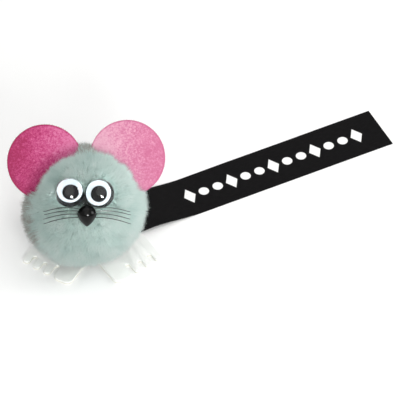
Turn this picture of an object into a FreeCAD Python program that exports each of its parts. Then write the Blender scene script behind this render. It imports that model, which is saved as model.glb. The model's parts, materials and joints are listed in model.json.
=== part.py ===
import FreeCAD, Part

import math
import os

# A pompom mouse on a ribbon: a craft pompom with felt ears, wobbly eyes, a bead nose and nylon
# whiskers, glued on a die-cut pair of self-adhesive feet, with a printed satin ribbon under it.
# All sizes are in millimetres. +Z is up, the face looks towards -Y, and "left" and "right" are
# the viewer's. The origin is on the flat face that the feet rest on, below the pompom's centre.

Vector = FreeCAD.Vector

# Pompom
POMPOM_RADIUS = 19.0
POMPOM_CENTRE = Vector(0, 0, POMPOM_RADIUS)
FACE_ELEVATION = 45.0          # the face points this far above the horizon
TIE_RING_RADIUS = 1.6          # binding thread round the waist of the fibre bundle
TIE_THREAD_RADIUS = 0.35

# Feet: liner, adhesive and foam are cut to one outline and stacked from the ground up
LINER_THICKNESS = 0.1
ADHESIVE_THICKNESS = 0.1
FOAM_THICKNESS = 0.8
FEET_TOP = LINER_THICKNESS + ADHESIVE_THICKNESS + FOAM_THICKNESS
FOOT_SPLAY = 30.0              # each foot points this far outward from straight ahead
FEET_YAW = 1.5                 # the sheet was glued slightly turned and off centre
FEET_SHIFT = 1.7
CROTCH_DISTANCE = 3.5          # where the two inner edges meet, ahead of the origin
BIG_TOE_WIDTH = 6.0
TOE_WIDTH = 2.3
TOE_GAP = 1.6
TOE_TIPS = (17.2, 16.5, 16.0, 15.3)      # how far each toe reaches, big toe first
TOE_NOTCHES = (12.0, 12.6, 11.8)         # how far in each gap is cut
BIG_TOE_CORNER = 1.8
TOE_CORNER = 1.0

# Ribbon
RIBBON_WIDTH = 16.0
RIBBON_THICKNESS = 0.25
RIBBON_BEARING = 27.1          # turned this far from +X towards +Y
RIBBON_START = Vector(0, 6.25, 0)        # a point of the centreline, under the pompom
RIBBON_INNER_END = -6.0        # stations along the ribbon, counted from that point
RIBBON_FOLD = 11.2
RIBBON_CREST = 19.0
RIBBON_TOUCHDOWN = 36.0
RIBBON_OUTER_END = 101.5
RIBBON_CREST_RISE = 1.0        # how far the arch stands above the feet
FOLD_GAP = 0.1

# Ears
EAR_RADIUS = 11.5
EAR_THICKNESS = 1.2
EAR_FORWARD = 2.0              # the ears' plane lies this far in front of the pompom's centre
EAR_ROOT = 11.3                # the straight root edge's distance from the pompom's centre
EAR_SWING = 15.0
EAR_CLEARANCE = 0.35
EAR_CENTRES = {"left": (-12.45, 12.85), "right": (12.6, 14.2)}
EAR_GLUE_RADIUS = 0.7
EAR_GLUE_LENGTH = 13.0

# Eyes: revolved pieces, stacked along each eye's own axis from its base upwards
EYE_BASE_RISE = 17.2           # base height above the pompom's centre, along the face axis
EYES = {                       # base place across and up the face, then lean across and up, degrees
    "left": ((-4.7, 3.05), (0.0, 25.0), (0.3, -0.75)),
    "right": ((4.65, 3.1), (-14.3, 9.0), (0.28, -0.4)),
}
BACK_BASE_RADIUS = 4.25
BACK_TOP_RADIUS = 3.9
BACK_HEIGHT = 2.55
WHITE_RADIUS = 3.85
WHITE_THICKNESS = 0.4
PUPIL_RADIUS = 2.5
PUPIL_THICKNESS = 0.4
PUPIL_PLAY = 0.05
LENS_WALL = 0.2
LENS_FLANGE_RADIUS = 5.4
LENS_FLANGE_THICKNESS = 0.25
LENS_SHOULDER_HEIGHT = 2.95
LENS_HEIGHT = 5.0
LENS_PLAY = 0.05
EYE_GLUE_RADIUS = 3.2
EYE_GLUE_DEPTH = 0.9
EYE_RECESS_DEPTH = 1.0

# Nose and whiskers
NOSE_PLACE = (0.5, -2.95, 19.3)         # middle of its flat back, on the face axes
NOSE_LEAN = -9.0
NOSE_RADIUS = 2.97
NOSE_TOP = 2.7
NOSE_TIP = 3.75
NOSE_END_FLAT = 0.1
NOSE_TOP_BULGE = 0.69          # how full the outline is above and below its widest line
NOSE_TIP_BULGE = 0.60
NOSE_GLUE_RADIUS = 2.5
NOSE_GLUE_DEPTH = 1.2
WHISKER_RADIUS = 0.14
WHISKER_DEPTH = 0.25           # the strands' centres lie this far behind the nose's flat back
WHISKER_SWEEP = 2.4            # how far the tips fall back towards the cheeks
WHISKER_REACH = 13.3
WHISKERS = ((-1.85, -2.15), (-2.35, -3.1), (-3.1, -4.45), (-3.95, -5.9))   # height at nose, at tips

FEET_GLUE_RADIUS = 6.4
FEET_GLUE_TOP = 2.2
PILE_UNDERSIDE = FEET_TOP + RIBBON_THICKNESS + 0.1

FACE_ACROSS = Vector(1, 0, 0)
FACE_OUT = Vector(0, -math.cos(math.radians(FACE_ELEVATION)), math.sin(math.radians(FACE_ELEVATION)))
FACE_UP = FACE_OUT.cross(FACE_ACROSS)


def on_face(across, up, out):
    """A point from its distances across, up and out along the face's own axes."""
    return POMPOM_CENTRE + FACE_ACROSS * across + FACE_UP * up + FACE_OUT * out


def frame(origin, z_axis, y_hint):
    """The placement of a local frame whose Z is z_axis and whose Y is nearest to y_hint."""
    z = Vector(z_axis).normalize()
    x = y_hint.cross(z).normalize()
    y = z.cross(x)
    matrix = FreeCAD.Matrix(
        x.x, y.x, z.x, origin.x,
        x.y, y.y, z.y, origin.y,
        x.z, y.z, z.z, origin.z,
        0, 0, 0, 1,
    )
    return FreeCAD.Placement(matrix)


def placed(shape, placement):
    copy = shape.copy()
    copy.Placement = placement.multiply(copy.Placement)
    return copy


def revolved(edges):
    """A solid of revolution about local Z from the edges of a closed half section in XZ."""
    face = Part.Face(Part.Wire(edges))
    return face.revolve(Vector(0, 0, 0), Vector(0, 0, 1), 360)


def segments(points):
    """Straight edges through a list of (radius, height) points, left open at the end."""
    corners = [Vector(r, 0, z) for r, z in points]
    return [Part.makeLine(a, b) for a, b in zip(corners, corners[1:])]


def lean_axis(across_deg, up_deg):
    """The direction that leans away from the face axis by the two angles."""
    across = math.tan(math.radians(across_deg))
    up = math.tan(math.radians(up_deg))
    return (FACE_OUT + FACE_ACROSS * across + FACE_UP * up).normalize()


# ---------------------------------------------------------------- feet

def foot_point(across, along, z=0.0):
    """A point of the right foot, from its distances across and along the foot."""
    splay = math.radians(FOOT_SPLAY)
    side = Vector(math.cos(splay), math.sin(splay), 0)
    ahead = Vector(math.sin(splay), -math.cos(splay), 0)
    return side * across + ahead * along + Vector(0, 0, z)


def foot_block(left, right, back, front, bottom, height, corner=0.0):
    """A flat block of the right foot with its two front corners rounded."""
    corners = [(left, back), (right, back), (right, front), (left, front)]
    points = [foot_point(a, b, bottom) for a, b in corners]
    block = Part.Face(Part.makePolygon(points + points[:1])).extrude(Vector(0, 0, height))
    if corner:
        tips = [foot_point(a, front) for a in (left, right)]
        upright = [
            edge for edge in block.Edges
            if any(all(math.dist(v.Point[:2], (t.x, t.y)) < 1e-6 for v in edge.Vertexes) for t in tips)
        ]
        block = block.makeFillet(corner, upright)
    return block


def right_foot(bottom, height):
    inner = -CROTCH_DISTANCE * math.sin(math.radians(FOOT_SPLAY))
    outer = inner + BIG_TOE_WIDTH + 3 * (TOE_WIDTH + TOE_GAP)
    heel_radius = (outer - inner) / 2
    heel = Part.makeCylinder(heel_radius, height, foot_point(inner + heel_radius, 0, bottom))
    foot = heel
    toe_left = inner
    for number, tip in enumerate(TOE_TIPS):
        width = TOE_WIDTH if number else BIG_TOE_WIDTH
        corner = TOE_CORNER if number else BIG_TOE_CORNER
        foot = foot.fuse(foot_block(toe_left, toe_left + width, 0, tip, bottom, height, corner))
        toe_right = toe_left + width
        if number < len(TOE_NOTCHES):
            root = TOE_NOTCHES[number] + TOE_GAP / 2
            web = foot_block(toe_right, toe_right + TOE_GAP, 0, root, bottom, height)
            hole_centre = foot_point(toe_right + TOE_GAP / 2, root, bottom)
            foot = foot.fuse(web.cut(Part.makeCylinder(TOE_GAP / 2, height, hole_centre)))
        toe_left = toe_right + TOE_GAP
    return foot


def feet_layer(bottom, height):
    """Both feet in one sheet, turned and shifted as they were glued."""
    right = right_foot(bottom, height)
    left = right.mirror(Vector(0, 0, 0), Vector(1, 0, 0))
    sheet = right.fuse(left).removeSplitter()
    sheet.rotate(Vector(0, 0, 0), Vector(0, 0, 1), FEET_YAW)
    sheet.translate(Vector(FEET_SHIFT, 0, 0))
    return sheet


# ---------------------------------------------------------------- ribbon

def ribbon_frame():
    """X along the ribbon, Y across it, Z up, from the start of the centreline."""
    turn = FreeCAD.Rotation(Vector(0, 0, 1), RIBBON_BEARING)
    return FreeCAD.Placement(RIBBON_START, turn)


def ribbon_root():
    length = RIBBON_FOLD - FOLD_GAP / 2 - RIBBON_INNER_END
    corner = Vector(RIBBON_INNER_END, -RIBBON_WIDTH / 2, FEET_TOP)
    return placed(Part.makeBox(length, RIBBON_WIDTH, RIBBON_THICKNESS, corner), ribbon_frame())


def step_arcs(start, end):
    """Two tangent arcs that leave start level and reach end level, as points and middles."""
    run = end[0] - start[0]
    rise = end[1] - start[1]
    radius = (run * run + rise * rise) / (4 * abs(rise))
    sign = math.copysign(1, rise)
    half = math.asin(run / 2 / radius) / 2
    middle = ((start[0] + end[0]) / 2, (start[1] + end[1]) / 2)
    over = radius * math.sin(half)
    sag = radius * (1 - math.cos(half))
    return (start[0] + over, start[1] + sign * sag), middle, (end[0] - over, end[1] - sign * sag)


def ribbon_line(lift):
    """The tail's edges seen from the side, raised by lift: an arch off the feet, then flat."""
    fold = (RIBBON_FOLD + FOLD_GAP / 2, FEET_TOP + lift)
    crest = (RIBBON_CREST, FEET_TOP + RIBBON_CREST_RISE + lift)
    ground = (RIBBON_TOUCHDOWN, lift)
    end = (RIBBON_OUTER_END, lift)
    edges = []
    for start, stop in ((fold, crest), (crest, ground)):
        first, middle, second = step_arcs(start, stop)
        for a, b, c in ((start, first, middle), (middle, second, stop)):
            arc = Part.Arc(*[Vector(s, 0, z) for s, z in (a, b, c)])
            edges.append(arc.toShape())
    edges.append(Part.makeLine(Vector(ground[0], 0, ground[1]), Vector(end[0], 0, end[1])))
    return edges, fold, end


def ribbon_tail():
    lower, low_start, low_end = ribbon_line(0.0)
    upper, high_start, high_end = ribbon_line(RIBBON_THICKNESS)
    ends = [
        Part.makeLine(Vector(a[0], 0, a[1]), Vector(b[0], 0, b[1]))
        for a, b in ((low_start, high_start), (low_end, high_end))
    ]
    outline = Part.Wire(Part.__sortEdges__(lower + upper + ends))
    strip = Part.Face(outline).extrude(Vector(0, RIBBON_WIDTH, 0))
    strip.translate(Vector(0, -RIBBON_WIDTH / 2, 0))
    return placed(strip, ribbon_frame())


# ---------------------------------------------------------------- ears

def ear_frame(side):
    """Z out of the ear's front, Y from the pompom's centre towards the ear's tip."""
    across, up = EAR_CENTRES[side]
    outward = (FACE_ACROSS * across + FACE_UP * up).normalize()
    origin = on_face(0, 0, EAR_FORWARD)
    return frame(origin, FACE_OUT, outward)


def ear_distance(side):
    return math.hypot(*EAR_CENTRES[side])


def ear(side):
    """A felt disc with its lower part cut off straight, where it is glued into the pile."""
    middle = Vector(0, ear_distance(side), -EAR_THICKNESS / 2)
    disc = Part.makeCylinder(EAR_RADIUS, EAR_THICKNESS, middle)
    size = 3 * EAR_RADIUS
    inboard = Part.makeBox(2 * size, size, size, Vector(-size, EAR_ROOT - size, -size / 2))
    return placed(disc.cut(inboard), ear_frame(side))


def ear_slot(side):
    """The room that the ear takes in the pile over its whole swing."""
    reach = POMPOM_RADIUS + 2 - EAR_ROOT
    near = EAR_THICKNESS / 2 + EAR_CLEARANCE
    far = near + reach * math.tan(math.radians(EAR_SWING + 2))
    inner = EAR_ROOT - EAR_CLEARANCE
    outer = EAR_ROOT + reach
    profile = [(inner, -near), (outer, -far), (outer, far), (inner, near)]
    span = EAR_RADIUS + 2
    points = [Vector(-span, y, z) for y, z in profile]
    wedge = Part.Face(Part.makePolygon(points + points[:1])).extrude(Vector(2 * span, 0, 0))
    column = Part.makeCylinder(
        EAR_RADIUS + 2 * EAR_CLEARANCE, 4 * far, Vector(0, ear_distance(side), -2 * far)
    )
    return placed(wedge.common(column), ear_frame(side))


def ear_glue(side):
    """A bead of glue in the pile, along the ear's root edge."""
    centre = Vector(-EAR_GLUE_LENGTH / 2, EAR_ROOT - EAR_CLEARANCE - EAR_GLUE_RADIUS, 0)
    bead = Part.makeCylinder(EAR_GLUE_RADIUS, EAR_GLUE_LENGTH, centre, Vector(1, 0, 0))
    return placed(bead, ear_frame(side))


# ---------------------------------------------------------------- eyes

def eye_frame(side):
    (across, up), lean, _ = EYES[side]
    return frame(on_face(across, up, EYE_BASE_RISE), lean_axis(*lean), FACE_UP)


def eye_glue(side):
    height = EYE_GLUE_DEPTH + EYE_RECESS_DEPTH
    plug = Part.makeCylinder(EYE_GLUE_RADIUS, height, Vector(0, 0, -EYE_GLUE_DEPTH))
    return placed(plug, eye_frame(side))


def eye_back(side):
    """The black cup behind the eye, recessed underneath for the glue."""
    section = segments([
        (EYE_GLUE_RADIUS, 0), (BACK_BASE_RADIUS, 0), (BACK_TOP_RADIUS, BACK_HEIGHT), (0, BACK_HEIGHT),
        (0, EYE_RECESS_DEPTH), (EYE_GLUE_RADIUS, EYE_RECESS_DEPTH), (EYE_GLUE_RADIUS, 0),
    ])
    return placed(revolved(section), eye_frame(side))


def eye_white(side):
    disc = Part.makeCylinder(WHITE_RADIUS, WHITE_THICKNESS, Vector(0, 0, BACK_HEIGHT))
    return placed(disc, eye_frame(side))


def pupil(side):
    _, _, (across, up) = EYES[side]
    height = BACK_HEIGHT + WHITE_THICKNESS + PUPIL_PLAY
    disc = Part.makeCylinder(PUPIL_RADIUS, PUPIL_THICKNESS, Vector(across, up, height))
    return placed(disc, eye_frame(side))


def lens_section(inset, top):
    """Half section points of the dome's skin at a given inset, and the top arc's middle."""
    base = BACK_BASE_RADIUS + LENS_PLAY + LENS_WALL - inset
    shoulder = BACK_TOP_RADIUS + LENS_PLAY + LENS_WALL - inset
    rise = top - LENS_SHOULDER_HEIGHT
    radius = (shoulder * shoulder + rise * rise) / (2 * rise)
    half = math.asin(shoulder / radius) / 2
    middle = (radius * math.sin(half), top - radius * (1 - math.cos(half)))
    return base, shoulder, middle


def lens_arc(shoulder, middle, top):
    points = [(shoulder, LENS_SHOULDER_HEIGHT), middle, (0, top)]
    return Part.Arc(*[Vector(r, 0, z) for r, z in points]).toShape()


def eye_lens(side):
    """The clear domed cap with its flange; the flange is trimmed where the other eye is."""
    out_base, out_shoulder, out_middle = lens_section(0.0, LENS_HEIGHT)
    in_top = LENS_HEIGHT - LENS_WALL
    in_base, in_shoulder, in_middle = lens_section(LENS_WALL, in_top)
    flange = LENS_FLANGE_THICKNESS
    edges = segments([
        (in_shoulder, LENS_SHOULDER_HEIGHT), (in_base, 0), (LENS_FLANGE_RADIUS, 0),
        (LENS_FLANGE_RADIUS, flange), (out_base, flange), (out_shoulder, LENS_SHOULDER_HEIGHT),
    ])
    edges.append(lens_arc(out_shoulder, out_middle, LENS_HEIGHT))
    edges.append(Part.makeLine(Vector(0, 0, LENS_HEIGHT), Vector(0, 0, in_top)))
    edges.append(lens_arc(in_shoulder, in_middle, in_top))
    cap = placed(revolved(edges), eye_frame(side))
    other = "left" if side == "right" else "right"
    body = Part.makeCone(out_base + 2 * LENS_PLAY, out_shoulder + 2 * LENS_PLAY, LENS_SHOULDER_HEIGHT)
    cap = cap.cut(placed(body, eye_frame(other)))
    if side == "left":
        under = Part.makeCylinder(LENS_FLANGE_RADIUS + LENS_PLAY, flange + LENS_PLAY)
        cap = cap.cut(placed(under, eye_frame(other)))
    return max(cap.Solids, key=lambda solid: solid.Volume)


def eye_pocket(side):
    """The room that an eye takes in the pile."""
    pocket = Part.makeCylinder(LENS_FLANGE_RADIUS + LENS_PLAY, 2 * LENS_HEIGHT)
    return placed(pocket, eye_frame(side))


# ---------------------------------------------------------------- nose and whiskers

def nose_frame():
    return frame(on_face(*NOSE_PLACE), lean_axis(0, NOSE_LEAN), FACE_UP)


def nose():
    """A teardrop bead with a flat back: a closed outline turned half way round its long axis."""
    def arc(start, end, bulge):
        middle = Vector((start.x + end.x) * bulge, 0, (start.z + end.z) * bulge)
        return Part.Arc(start, middle, end).toShape()

    widest = Vector(NOSE_RADIUS, 0, 0)
    top_axis = Vector(0, 0, -NOSE_TOP)
    tip_axis = Vector(0, 0, NOSE_TIP)
    top = top_axis + Vector(NOSE_END_FLAT, 0, 0)
    tip = tip_axis + Vector(NOSE_END_FLAT, 0, 0)
    outline = [Part.makeLine(tip, tip_axis), Part.makeLine(tip_axis, top_axis), Part.makeLine(top_axis, top)]
    outline += [arc(top, widest, NOSE_TOP_BULGE), arc(widest, tip, NOSE_TIP_BULGE)]
    drop = Part.Face(Part.Wire(outline)).revolve(Vector(0, 0, 0), Vector(0, 0, 1), 180)
    drop.rotate(Vector(0, 0, 0), Vector(1, 0, 0), 90)
    return placed(drop, nose_frame())


def whisker(at_nose, at_tips):
    """One strand bent in an even arc from cheek to cheek, passing under the nose."""
    across, nose_height, nose_rise = NOSE_PLACE
    rise = nose_rise - WHISKER_DEPTH
    rise -= (at_nose - nose_height) * math.tan(math.radians(NOSE_LEAN))
    left = on_face(across - WHISKER_REACH, at_tips, rise - WHISKER_SWEEP)
    right = on_face(across + WHISKER_REACH, at_tips, rise - WHISKER_SWEEP)
    middle = on_face(across, at_nose, rise)
    path = Part.Arc(left, middle, right).toShape()
    section = Part.Wire(Part.makeCircle(WHISKER_RADIUS, left, path.tangentAt(path.FirstParameter)))
    return Part.Wire(path).makePipeShell([section], True, False)


def nose_glue(strands):
    depth = Vector(0, 0, -NOSE_GLUE_DEPTH)
    spot = placed(Part.makeCylinder(NOSE_GLUE_RADIUS, NOSE_GLUE_DEPTH, depth), nose_frame())
    for strand in strands:
        spot = spot.cut(strand)
    return spot


# ---------------------------------------------------------------- pompom

def feet_glue(ribbon):
    height = FEET_GLUE_TOP - FEET_TOP
    puddle = Part.makeCylinder(FEET_GLUE_RADIUS, height, Vector(0, 0, FEET_TOP))
    return puddle.cut(ribbon)


def pompom_tie():
    return Part.makeTorus(TIE_RING_RADIUS, TIE_THREAD_RADIUS, POMPOM_CENTRE)


def pompom_pile(embedded):
    """The ball of fibre, flattened where it is glued down, with room for what sits in it."""
    ball = Part.makeSphere(POMPOM_RADIUS, POMPOM_CENTRE)
    size = 2 * POMPOM_RADIUS
    ground = Part.makeBox(2 * size, 2 * size, size, Vector(-size, -size, PILE_UNDERSIDE - size))
    pile = ball.cut(ground)
    for piece in embedded:
        pile = pile.cut(piece)
    return max(pile.Solids, key=lambda solid: solid.Volume)


# ---------------------------------------------------------------- the whole mouse

def build():
    parts = {}
    parts["release_liner"] = feet_layer(0.0, LINER_THICKNESS)
    parts["foot_adhesive"] = feet_layer(LINER_THICKNESS, ADHESIVE_THICKNESS)
    parts["feet"] = feet_layer(LINER_THICKNESS + ADHESIVE_THICKNESS, FOAM_THICKNESS)
    parts["ribbon_root"] = ribbon_root()
    parts["ribbon_tail"] = ribbon_tail()
    parts["feet_glue"] = feet_glue(parts["ribbon_root"])
    parts["nose"] = nose()
    strands = [whisker(at_nose, at_tips) for at_nose, at_tips in WHISKERS]
    for number, strand in enumerate(strands, 1):
        parts[f"whisker_{number}"] = strand
    parts["nose_glue"] = nose_glue(strands)
    parts["pompom_tie"] = pompom_tie()
    embedded = [parts["feet_glue"], parts["nose_glue"], parts["pompom_tie"]]
    for side in ("left", "right"):
        parts[f"ear_{side}"] = ear(side)
        parts[f"ear_glue_{side}"] = ear_glue(side)
        parts[f"eye_glue_{side}"] = eye_glue(side)
        parts[f"eye_back_{side}"] = eye_back(side)
        parts[f"eye_white_{side}"] = eye_white(side)
        parts[f"pupil_{side}"] = pupil(side)
        parts[f"eye_lens_{side}"] = eye_lens(side)
        embedded += [ear_slot(side), parts[f"ear_glue_{side}"]]
        embedded += [eye_pocket(side), parts[f"eye_glue_{side}"]]
    parts["pompom_pile"] = pompom_pile(embedded)
    return parts


os.makedirs("parts", exist_ok=True)
for name, shape in build().items():
    solids = shape.Solids
    if len(solids) != 1 or not solids[0].isValid():
        raise RuntimeError(f"{name} is not one sound solid")
    solids[0].exportStep(f"parts/{name}.step")
    print(name, round(solids[0].Volume, 3))
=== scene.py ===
import json
import math
import random

import bmesh
import bpy
from mathutils import Matrix, Vector, noise


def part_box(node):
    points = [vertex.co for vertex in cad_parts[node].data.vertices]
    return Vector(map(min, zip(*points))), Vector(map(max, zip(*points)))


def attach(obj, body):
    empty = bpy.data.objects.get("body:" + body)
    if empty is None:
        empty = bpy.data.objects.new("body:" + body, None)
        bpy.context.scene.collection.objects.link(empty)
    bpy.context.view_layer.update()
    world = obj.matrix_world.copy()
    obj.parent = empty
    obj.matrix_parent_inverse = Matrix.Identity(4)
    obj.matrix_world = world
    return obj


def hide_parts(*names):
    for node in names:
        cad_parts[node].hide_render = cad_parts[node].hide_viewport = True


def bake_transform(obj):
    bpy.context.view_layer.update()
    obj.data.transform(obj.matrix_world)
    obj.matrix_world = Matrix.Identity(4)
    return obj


# A pompom mouse on a printed ribbon: acrylic pompom, needled felt ears, wobbly eyes, a bead nose,
# nylon whiskers, foam feet with adhesive and release paper, and a black satin ribbon.
# Everything is in metres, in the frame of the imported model. "Left" and "right" are the viewer's.

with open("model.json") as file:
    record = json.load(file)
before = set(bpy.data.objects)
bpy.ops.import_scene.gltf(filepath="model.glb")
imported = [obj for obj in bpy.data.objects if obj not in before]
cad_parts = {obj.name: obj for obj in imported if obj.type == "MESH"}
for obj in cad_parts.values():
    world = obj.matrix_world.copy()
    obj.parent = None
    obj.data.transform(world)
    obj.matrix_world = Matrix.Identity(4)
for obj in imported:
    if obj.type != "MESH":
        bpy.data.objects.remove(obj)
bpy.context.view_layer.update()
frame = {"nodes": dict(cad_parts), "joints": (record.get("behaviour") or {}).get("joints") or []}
noise.seed_set(41)             # otherwise noise_vector starts from the clock, and differs each run
NODES = frame["nodes"]
JOINTS = {joint["name"]: joint for joint in frame["joints"]}

MM = 0.001
SIDES = ("left", "right")

# The face looks up and forward at 45 degrees. Its own axes are across, up and out.
FACE_ACROSS = Vector((1, 0, 0))
FACE_OUT = Vector((0, -math.sqrt(0.5), math.sqrt(0.5)))
FACE_UP = FACE_OUT.cross(FACE_ACROSS)
BALL_RADIUS = 19.0 * MM
BALL_CENTRE = Vector((0, 0, BALL_RADIUS))


def on_face(across, up, out):
    """A point from its distances, in millimetres, along the face's axes from the pompom's centre."""
    return BALL_CENTRE + (FACE_ACROSS * across + FACE_UP * up + FACE_OUT * out) * MM


# ---------------------------------------------------------------- camera

PICTURE_SPAN = 121.6 * MM      # what the picture's width takes in, at the pompom
PICTURE_CENTRE = (34.66, 1.37)
LENS_LENGTH = 1000             # a long lens from far off, so that nothing looks foreshortened


def make_camera():
    data = bpy.data.cameras.new("camera")
    data.lens = LENS_LENGTH
    distance = PICTURE_SPAN * LENS_LENGTH / data.sensor_width
    data.clip_start = distance / 10
    data.clip_end = distance * 3
    camera = bpy.data.objects.new("camera", data)
    camera.location = on_face(*PICTURE_CENTRE, 0) + FACE_OUT * distance
    camera.rotation_euler = (math.radians(45), 0, 0)
    bpy.context.scene.collection.objects.link(camera)
    bpy.context.scene.camera = camera


make_camera()


# ---------------------------------------------------------------- material helpers

def srgb(code, alpha=1.0):
    """A linear colour from an sRGB hex value."""
    channels = [int(code[i:i + 2], 16) / 255 for i in (0, 2, 4)]
    linear = [c / 12.92 if c <= 0.04045 else ((c + 0.055) / 1.055) ** 2.4 for c in channels]
    return (*linear, alpha)


def add(tree, kind, settings=None, inputs=None, stops=()):
    """Adds a node with its settings and links: an input that is given a socket is linked to it. stops
    are a colour ramp's (position, sRGB hex value) pairs."""
    node = tree.nodes.new(kind)
    for name, value in (settings or {}).items():
        setattr(node, name, value)
    for name, value in (inputs or {}).items():
        if isinstance(value, bpy.types.NodeSocket):
            tree.links.new(value, node.inputs[name])
        else:
            node.inputs[name].default_value = value
    points = node.color_ramp.elements if stops else ()
    while len(points) < len(stops):
        points.new(0.5)
    for point, (position, code) in zip(points, stops):
        point.position = position
        point.color = srgb(code)
    return node


def surface(name, **sockets):
    """A material with one Principled shader. Returns the material, its tree and the shader."""
    mat = bpy.data.materials.new(name)
    mat.use_nodes = True
    tree = mat.node_tree
    tree.nodes.clear()
    inputs = {key.replace("_", " "): value for key, value in sockets.items()}
    shader = add(tree, "ShaderNodeBsdfPrincipled", {}, inputs)
    add(tree, "ShaderNodeOutputMaterial", {}, {"Surface": shader.outputs[0]})
    return mat, tree, shader


def per_mm(size_mm):
    """The texture scale, in object coordinates in metres, that repeats about once per size."""
    return 1 / (size_mm * MM)


# ---------------------------------------------------------------- materials

def pile_fibre(name, code):
    """Cut acrylic fibre: dull, with a soft sheen where the ends catch the light. Each shade of the
    dyed tow is plain, and the mottling comes from how the shades are mixed over the ball."""
    mat, _, _ = surface(name, Base_Color=srgb(code), Roughness=0.9, Sheen_Weight=0.25, Sheen_Roughness=0.6)
    return mat


def pile_core(pit_shade_spot):
    """The packed fibre below the tips: darker, as painted shade, because little light gets in, and streaky.
    Between the eyes and the nose it is painted near black, a painted shade for the pit there."""
    mat, tree, shader = surface("pompom_core", Roughness=1.0)
    spot = add(tree, "ShaderNodeTexCoord").outputs["Object"]
    blotch = add(tree, "ShaderNodeTexNoise", {}, {"Vector": spot, "Scale": per_mm(4), "Detail": 3.0})
    shade = add(tree, "ShaderNodeValToRGB", {}, {"Fac": blotch.outputs["Fac"]}, [
        (0.35, "94A8A1"), (0.65, "B5C8C1"),
    ])
    # Painted shade: the core turns near black around the spot between the eyes and the nose.
    away = add(tree, "ShaderNodeVectorMath", {"operation": "DISTANCE"}, {0: spot, 1: pit_shade_spot})
    painted_pit_shade = add(tree, "ShaderNodeMapRange", {}, {
        "Value": away.outputs["Value"], "From Min": 3.6 * MM, "From Max": 2.4 * MM,
    })
    both = add(tree, "ShaderNodeMix", {"data_type": "RGBA"}, {
        "Factor": painted_pit_shade.outputs["Result"], "A": shade.outputs["Color"], "B": srgb("0B0C0C"),
    })
    tree.links.new(both.outputs["Result"], shader.inputs["Base Color"])
    strand = add(tree, "ShaderNodeTexNoise", {}, {"Vector": spot, "Scale": per_mm(0.3), "Detail": 2.0})
    bump = add(tree, "ShaderNodeBump", {}, {"Height": strand.outputs["Fac"], "Distance": 0.3 * MM})
    tree.links.new(bump.outputs["Normal"], shader.inputs["Normal"])
    return mat


def needled_felt(name, dark, middle, light, lean, centre, radius):
    """Needled felt: short dyed fibres matted together, so the colour is mottled at about half a millimetre,
    and the surface is dull and slightly furry. lean shifts the colour from dark to light across the ear, a
    painted shade for the part turned from the light. The cut rim is darkened too, a painted shade where the
    rim turns away."""
    mat, tree, shader = surface(name, Roughness=0.95, Sheen_Weight=0.15, Sheen_Roughness=0.5)
    spot = add(tree, "ShaderNodeTexCoord").outputs["Object"]
    fibres = add(tree, "ShaderNodeTexNoise", {}, {
        "Vector": spot, "Scale": per_mm(0.6), "Detail": 5.0, "Roughness": 0.9, "Distortion": 0.5,
    })
    clump = add(tree, "ShaderNodeTexNoise", {}, {"Vector": spot, "Scale": per_mm(1.7), "Detail": 3.0})
    patch = add(tree, "ShaderNodeTexNoise", {}, {"Vector": spot, "Scale": per_mm(7), "Detail": 2.0})
    across = add(tree, "ShaderNodeSeparateXYZ", {}, {"Vector": spot})
    low, high = lean
    # Painted shade: the colour runs from dark to light across the ear.
    painted_shade_drift = add(tree, "ShaderNodeMapRange", {}, {
        "Value": across.outputs["X"], "From Min": low, "From Max": high, "To Min": -0.18, "To Max": 0.18,
    })
    # Painted shade: the colour darkens over the last 0.55 mm towards the cut rim.
    from_centre = add(tree, "ShaderNodeVectorMath", {"operation": "DISTANCE"}, {0: spot, 1: centre})
    rim = add(tree, "ShaderNodeMapRange", {}, {
        "Value": from_centre.outputs["Value"], "From Min": radius - 0.55 * MM, "From Max": radius,
        "To Min": 0.0, "To Max": -0.28,
    })
    total = painted_shade_drift.outputs["Result"]
    for source, share in ((fibres, 1.3), (clump, 0.15), (patch, 0.15)):
        part = add(tree, "ShaderNodeMath", {"operation": "MULTIPLY_ADD"}, {
            0: source.outputs["Fac"], 1: share, 2: total,
        })
        total = part.outputs[0]
    total = add(tree, "ShaderNodeMath", {"operation": "ADD"}, {0: total, 1: rim.outputs["Result"]})
    colour = add(tree, "ShaderNodeValToRGB", {}, {"Fac": total.outputs[0]}, [
        (0.62, dark), (0.8, middle), (0.95, light),
    ])
    tree.links.new(colour.outputs["Color"], shader.inputs["Base Color"])
    bump = add(tree, "ShaderNodeBump", {}, {"Height": fibres.outputs["Fac"], "Distance": 0.12 * MM})
    tree.links.new(bump.outputs["Normal"], shader.inputs["Normal"])
    return mat


def moulded_gloss(name, code, light_code, roughness, gloss=0.5):
    """Injection-moulded polystyrene with a polished skin: deep colour and sharp highlights, with
    faint flow marks that vary the gloss."""
    mat, tree, shader = surface(name, IOR=1.55, Specular_IOR_Level=gloss)
    spot = add(tree, "ShaderNodeTexCoord").outputs["Object"]
    flow = add(tree, "ShaderNodeTexNoise", {}, {"Vector": spot, "Scale": per_mm(1.5), "Detail": 3.0})
    colour = add(tree, "ShaderNodeValToRGB", {}, {"Fac": flow.outputs["Fac"]}, [
        (0.3, code), (0.8, light_code),
    ])
    tree.links.new(colour.outputs["Color"], shader.inputs["Base Color"])
    polish = add(tree, "ShaderNodeMapRange", {}, {
        "Value": flow.outputs["Fac"], "To Min": roughness * 0.7, "To Max": roughness * 1.5,
    })
    tree.links.new(polish.outputs["Result"], shader.inputs["Roughness"])
    return mat


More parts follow.
